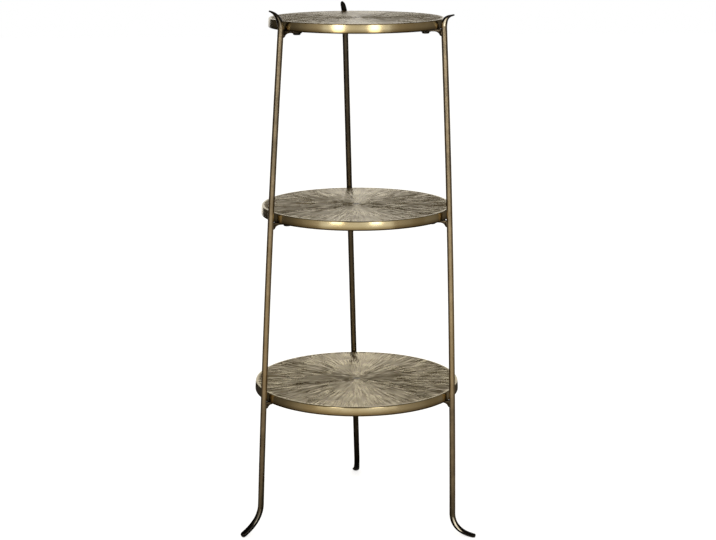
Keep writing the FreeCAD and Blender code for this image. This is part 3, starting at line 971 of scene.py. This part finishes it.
def bronzed_steel(name, with_leg_values):
    """Browns coated over each other by noise and height, with painted light, shade and highlight,
    and two bumps of noise.
    """
    finish, tree = new_finish(name, Metallic=1.0, Coat_Weight=0.15, Coat_Roughness=0.18)
    place = add_node(tree, "TexCoord", output="Object")
    height = add_node(tree, "SeparateXYZ", (place,), "Z")
    cloud, speck, dents, scale = [  # clouds of 28 mm, specks of 2.2, dents of 7, scale of 0.6
        add_node(tree, "TexNoise", {"Vector": place, "Scale": 1 / (size * MM), "Detail": detail})
        for size, detail in ((28.0, 4.0), (2.2, 3.0), (7.0, 1.0), (0.6, 2.0))]
    colour = coated(tree, linear("#665B48"),
                    (linear("#8B7C62"), (cloud, 0.32, 0.68, 0.0, 1.0)),
                    (linear("#3A3022"), (speck, 0.56, 0.72, 0.0, 0.18)))
    # Painted light: a lighter band on the bar from about 0.2 m to 0.66 m up, in place of lamp light
    # that falls short there; below 0.12 m the bar is darker towards the floor.
    painted_light_band = coated(tree, colour, (linear("#B8A27A"), (height, 0.66, 0.33, 0.0, 0.6)))
    colour = coated(tree, painted_light_band, (colour, (height, 0.27, 0.2, 0.0, 0.8)),
                    (linear("#2E2A1D"), (height, 0.12, 0.02, 0.0, 0.5)))
    if with_leg_values:
        painted_light, forged, painted_glint = [
            add_node(tree, "Attribute", output="Fac", attribute_name=key)
            for key in ("painted_light", "forged", "painted_glint")]
        # Painted shade: the back leg, which takes no painted light, is coated near black; the
        # forged ends go near black too.
        colour = coated(tree, colour, (linear("#1F1A13"), (painted_light, 0.0, 1.0, 0.8, 0.0)),
                        (linear("#14110C"), (forged, 0.03, 0.4, 0.0, 0.96)),
                        # painted highlight along the bends of toes and leaves
                        (linear("#DDD2B8"), (painted_glint, 0.4, 0.9, 0.0, 0.95)))
    else:
        # Painted shade: the arms, which sit in the shade under the rims, are coated darker.
        colour = coated(tree, colour, (linear("#231B12"), (cloud, 0.3, 0.7, 0.6, 0.8)))
    limits = (cloud, 0.3, 0.7, 0.27, 0.36)
    rough = add_node(tree, "MapRange", limits, interpolation_type="SMOOTHSTEP")
    broad = add_node(tree, "Bump", {"Height": dents, "Strength": 1.0, "Distance": 0.00018})
    fine = {"Height": scale, "Strength": 0.5, "Distance": 0.00002, "Normal": broad}
    close_finish(tree, colour, rough, add_node(tree, "Bump", fine))
    return finish


leg_finish = bronzed_steel("bronzed_forged_steel", True)
arm_finish = bronzed_steel("bronzed_welded_steel", False)
print("finishes:", leg_finish.name, arm_finish.name)

# %% [markdown]
# ## Cast aluminium, nickel on the deck and brass on the rim
#
# The tray is one casting in two tones. Its deck is plated a tired nickel and washed dark, and the
# wash stays in the beds of the strokes and in the dimple, while the ridges are rubbed bright. The
# rim is burnished to a brass tone and thinly lacquered, so it mirrors the room. Painted shade
# darkens it towards its foot, and it ends there in a painted shadow line. Between the modelled
# strokes the tool leaves finer lines. Their real spacing is about half a millimetre, too fine to
# show, so they are drawn about twice as coarse.

# %% Fine lines that run outwards
tool_line_count, tool_line_length = 140.0, 0.020


def tool_lines(tree, place):
    """Noise of the direction from the axis and of the radius, which gives radial lines.

    The unit direction times 140 gives lines about 1 mm apart near the rim. The radius over
    20 mm, added upwards, makes each line about 20 mm long.
    """
    to_axis = {"Vector": place, "Location": (-axis[0] * MM, -axis[1] * MM, 0.0)}
    centred = add_node(tree, "Mapping", to_axis)
    flat = add_node(tree, "VectorMath", (centred, (1.0, 1.0, 0.0)), operation="MULTIPLY")
    radius = add_node(tree, "VectorMath", (flat,), "Value", operation="LENGTH")
    toward = add_node(tree, "VectorMath", (flat,), operation="NORMALIZE")
    spread = add_node(tree, "VectorMath", {0: toward, 3: tool_line_count}, operation="SCALE")
    along = add_node(tree, "Math", (radius, 1 / tool_line_length), operation="MULTIPLY")
    lift = add_node(tree, "CombineXYZ", {"Z": along})
    polar = add_node(tree, "VectorMath", (spread, lift), operation="ADD")
    return add_node(tree, "TexNoise", {"Vector": polar, "Scale": 1.0, "Detail": 2.0}), radius


print("tool lines stand apart at the rim, mm:", round(TIERS["bottom"][0] / tool_line_count, 2))

# %% Finish of the trays


def cast_tray_finish():
    """A nickel and a brass, each of several coats, divided by the value of the rim."""
    finish, tree = new_finish("antique_cast_aluminium", Metallic=1.0,
                              Coat_Weight=0.03, Coat_Roughness=0.12)
    place = add_node(tree, "TexCoord", output="Object")
    lines, radius = tool_lines(tree, place)
    cloud, grain = [  # clouds of 40 mm, and the 1.1 mm grain of the moulding sand
        add_node(tree, "TexNoise", {"Vector": place, "Scale": 1 / (size * MM), "Detail": detail})
        for size, detail in ((40.0, 4.0), (1.1, 3.0))]
    relief, rim, low_zone = [
        add_node(tree, "Attribute", output="Fac", attribute_name=key)
        for key in ("relief", "rim", "low")]

    nickel = coated(tree, linear("#BEA97C"),
                    (linear("#DCCB9A"), (relief, 0.05, 0.7, 0.0, 1.0)),
                    (linear("#86754F"), (lines, 0.35, 0.6, 0.25, 0.0)),
                    (linear("#A38E78"), (cloud, 0.3, 0.7, 0.0, 0.25)),
                    (linear("#4E3B20"), (radius, 0.003, 0.009, 0.75, 0.0)))
    # The brass darkens with painted shade towards the rim's foot and ends in a painted shadow line
    # along it; the underside takes its own darker colour.
    brass = coated(tree, linear("#B5A37A"),
                   (linear("#C4B58F"), (cloud, 0.35, 0.65, 0.0, 1.0)),
                   (linear("#7A6742"), (low_zone, 0.05, 0.5, 0.0, 0.8)),
                   (linear("#382C1A"), (low_zone, 0.43, 0.49, 0.0, 0.9)),
                   (linear("#5A4E3A"), (low_zone, 0.6, 0.9, 0.0, 1.0)))
    colour = add_node(tree, "Mix", {0: rim, 6: nickel, 7: brass}, 2, data_type="RGBA")

    deck_rough, rim_rough, deck_only, under_only = [
        add_node(tree, "MapRange", limits, interpolation_type="SMOOTHSTEP")
        for limits in ((cloud, 0.3, 0.7, 0.25, 0.3), (low_zone, 0.5, 0.9, 0.18, 0.55),
                       (rim, 0.0, 1.0, 1.0, 0.0), (low_zone, 0.6, 0.9, 0.0, 1.0))]
    rough = add_node(tree, "Mix", {0: rim, 2: deck_rough, 3: rim_rough}, data_type="FLOAT")
    cut = add_node(tree, "Math", (lines, deck_only), operation="MULTIPLY")
    sand = add_node(tree, "Math", (grain, under_only), operation="MULTIPLY")
    brushed = add_node(tree, "Bump", {"Height": cut, "Strength": 1.0, "Distance": 0.00012})
    sandy = {"Height": sand, "Strength": 0.6, "Distance": 0.00015, "Normal": brushed}
    close_finish(tree, colour, rough, add_node(tree, "Bump", sandy))
    return finish


tray_finish = cast_tray_finish()
print("finish:", tray_finish.name)

# %% [markdown]
# ## Blackened steel for screws and washers
#
# Black oxide turns steel blue-black and leaves its edges a shade lighter once a key or a
# socket has rubbed them. It stays a metal, dark and satin.

# %% Finish of the fasteners


def blackened_steel():
    """Near black, coated by fine specks and by worn patches, with a bump of the specks."""
    finish, tree = new_finish("black_oxide_steel", Metallic=1.0)
    place = add_node(tree, "TexCoord", output="Object")
    speck, wear = [  # specks of 1.6 mm and worn patches of 6 mm
        add_node(tree, "TexNoise", {"Vector": place, "Scale": 1 / (size * MM), "Detail": detail})
        for size, detail in ((1.6, 3.0), (6.0, 2.0))]
    colour = coated(tree, linear("#1C1916"),
                    (linear("#2E2A24"), (speck, 0.4, 0.65, 0.0, 1.0)),
                    (linear("#5A5348"), (wear, 0.58, 0.75, 0.0, 0.6)))
    limits = (speck, 0.3, 0.7, 0.36, 0.5)
    rough = add_node(tree, "MapRange", limits, interpolation_type="SMOOTHSTEP")
    bump = add_node(tree, "Bump", {"Height": speck, "Strength": 0.5, "Distance": 0.00003})
    close_finish(tree, colour, rough, bump)
    return finish


fastener_finish = blackened_steel()
print("finish:", fastener_finish.name)

# %% [markdown]
# ## Each piece takes the place of its construction piece
#
# The finished surfaces stand for the construction model's nodes of the same part, which are hidden,
# ride on the table's one body, and wear their finish.

# %% Dress the pieces and tie them to the frame


def dress(piece, finish, node):
    """Gives a piece its finish and its body, and lets it stand for a node."""
    piece.data.materials.append(finish)
    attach(piece, "root")
    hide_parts(node)


for name, piece in legs.items():
    dress(piece, leg_finish, "leg_" + name)
for (tier, name), piece in arms.items():
    dress(piece, arm_finish, "arm_" + tier + "_" + name)
for tier in TIERS:
    dress(trays[tier], tray_finish, "tray_" + tier)
    dress(screws[tier], fastener_finish, "screws_" + tier)
    dress(washers[tier], fastener_finish, "washers_" + tier)
print("pieces dressed:", len(legs) + len(arms) + 3 * len(TIERS))

# %% [markdown]
# ## The studio
#
# Polished metal shows its room more than its own colour, so the studio is part of the
# finish. The floor is plain and pale, and the room behind the table is white. What is
# looked at, directly or in a mirror, glows a little by itself, so that the background is
# pale without more light on the metal, and the floor still takes the table's shadow.

# %% Floor and white room
floor_half, floor_glow, room_light, room_seen = 9.0, 0.72, 0.55, 1.0
white = linear("#FFFFFF")


def seen_share(tree):
    """1 for rays from the camera or from gloss or glass, and 0 for light on its way."""
    path = add_node(tree, "LightPath").node.outputs
    share = path["Is Camera Ray"]
    for kind in ("Is Glossy Ray", "Is Transmission Ray"):
        share = add_node(tree, "Math", (share, path[kind]), operation="MAXIMUM")
    return share


def bare_finish(name):
    """A material with an empty network, and its tree."""
    made = bpy.data.materials.new(name)
    made.use_nodes = True
    made.node_tree.nodes.clear()
    made.cycles.emission_sampling = "NONE"
    return made, made.node_tree


def add_stage(name, points, faces, finish, only_reflected=False):
    """A mesh of the room, in metres. It isn't part of the table."""
    mesh = bpy.data.meshes.new(name)
    mesh.from_pydata(points, [], faces)
    mesh.materials.append(finish)
    made = show(name, mesh)
    if only_reflected:
        made.visible_camera = made.visible_diffuse = False
        made.visible_shadow = made.visible_transmission = False
    return made


floor_finish, tree = bare_finish("pale_floor")
glow = add_node(tree, "MapRange", (seen_share(tree), 0.0, 1.0, 0.0, floor_glow))
shine = add_node(tree, "Emission", {"Color": white, "Strength": glow})
matt = add_node(tree, "BsdfDiffuse", {"Color": linear("#DAD7D0")})
both = add_node(tree, "AddShader", (matt, shine))
add_node(tree, "OutputMaterial", {"Surface": both})
corners = [(x * floor_half, y * floor_half, 0) for x, y in ((-1, -1), (1, -1), (1, 1), (-1, 1))]
add_stage("studio_floor", corners, [(0, 1, 2, 3)], floor_finish)

world = bpy.data.worlds.new("studio_room")
bpy.context.scene.world = world
world.use_nodes = True
tree = world.node_tree
tree.nodes.clear()
level = add_node(tree, "MapRange", (seen_share(tree), 0.0, 1.0, room_light, room_seen))
sky = add_node(tree, "Background", {"Color": white, "Strength": level})
add_node(tree, "OutputWorld", {"Surface": sky})
world.cycles.sampling_method = "NONE"
print("floor reaches, m:", floor_half)

# %% [markdown]
# ## Softboxes
#
# Two tall softboxes stand one on each side of the camera. A rim is a mirror bent round
# the table, so each lamp shows in it once, as a narrow bright patch a little left or right
# of the middle. Where the lamps' lower edge stands decides how far down the patch runs on
# the lower trays.

# %% Stand the softboxes
lamp_distance, lamp_height, lamp_middle, lamp_radiance = 2.2, 1.29, 1.175, 5.0


def softbox(name, turn_degrees, width):
    """A tall rectangular lamp, turned to the table. Its power follows from its radiance."""
    data = bpy.data.lights.new(name, "AREA")
    data.shape, data.size, data.size_y = "RECTANGLE", width, lamp_height
    data.energy = lamp_radiance * math.pi * width * lamp_height
    data.color = linear("#FFFDF9")[:3]
    lamp = show(name, data)
    a = math.radians(turn_degrees) + camera_turn
    lamp.location = (axis[0] * MM - lamp_distance * math.sin(a),
                     axis[1] * MM - lamp_distance * math.cos(a), lamp_middle)
    lamp.rotation_euler = (math.pi / 2, 0.0, -a)
    lamp.visible_camera = False
    print(f"{name}: {data.energy:.2f} W")


softbox("left_softbox", 22.6, 0.5)
softbox("right_softbox", -22.3, 0.48)

# %% [markdown]
# ## Cards and a canopy
#
# Cards stand and lie round the table outside the view. Their brightness is a value on
# their points: light cream beside the lamps, fading to near black where they end beside
# the white room, so that a round bar gets a soft bright middle and dark edges without a
# hard line. A dim, warm canopy overhead keeps the decks from mirroring a bright ceiling,
# and its lighter middle is what the decks show when one looks straight down on them. All
# of them are seen only in reflections.

# %% Hang the cards and the canopy


def graded_card_finish(name, hex_colour):
    """A glowing card: one colour, with the strength taken from the 'level' of its points."""
    made, tree = bare_finish(name)
    level = add_node(tree, "Attribute", output="Fac", attribute_name="level")
    shine = add_node(tree, "Emission", {"Color": linear(hex_colour), "Strength": level})
    add_node(tree, "OutputMaterial", {"Surface": shine})
    return made


def card(name, degrees, run, levels, finish):
    """A card swept round the table: (out, up) pairs at each angle, and a level for each angle."""
    turn = (np.radians(degrees) + camera_turn)[:, None]
    out, up = np.array(run).T
    points = np.stack([axis[0] * MM - out * np.sin(turn), axis[1] * MM - out * np.cos(turn),
                       up + 0 * turn], axis=-1).reshape(-1, 3)
    first = np.arange(len(degrees) - 1)[:, None] * 2
    faces = first + [0, 1, 3, 2]
    made = add_stage(name, points.tolist(), faces.tolist(), finish, only_reflected=True)
    layer = made.data.attributes.new("level", "FLOAT", "POINT")
    layer.data.foreach_set("value", np.repeat(levels, 2).astype(np.float32))
    print(f"{name}: level {np.min(levels):.2f} to {np.max(levels):.2f}")


card_finish = graded_card_finish("graded_card", "#FFF2E1")
canopy_finish = graded_card_finish("warm_canopy", "#FFECC8")
card_angles = [0.0, 40.0, 60.0, 80.0, 105.0, 130.0, 150.0, 180.0]
card_levels = {"left": [0.67, 0.6, 0.36, 0.15, 0.07, 0.05, 0.03, 0.03],
               "right": [0.67, 0.5, 0.36, 0.28, 0.22, 0.09, 0.04, 0.03]}
wall_out, wall_up, floor_up, under_out, floor_out = 1.6, 1.9, 0.004, 0.27, 2.1
canopy_middle_out, canopy_out = 0.7, 4.5
for name, sign in (("left", 1), ("right", -1)):
    for kind, degrees, run in (
            ("wall", np.linspace(42.0, 150.0, 37), [(wall_out, floor_up), (wall_out, wall_up)]),
            ("floor", np.linspace(0.0, 180.0, 37), [(under_out, floor_up), (floor_out, floor_up)])):
        levels = np.interp(degrees, card_angles, card_levels[name])
        card(f"{name}_{kind}_card", sign * degrees, run, levels, card_finish)
for name, steps, run, level, finish in (
        ("under_table_card", 37, [(0.0, floor_up), (under_out, floor_up)], 0.06, card_finish),
        ("canopy", 73, [(canopy_middle_out, wall_up), (canopy_out, wall_up)], 0.07, canopy_finish),
        ("canopy_middle", 73, [(0.0, wall_up), (canopy_middle_out, wall_up)], 0.5, card_finish)):
    card(name, np.linspace(-180.0, 180.0, steps), run, np.full(steps, level), finish)
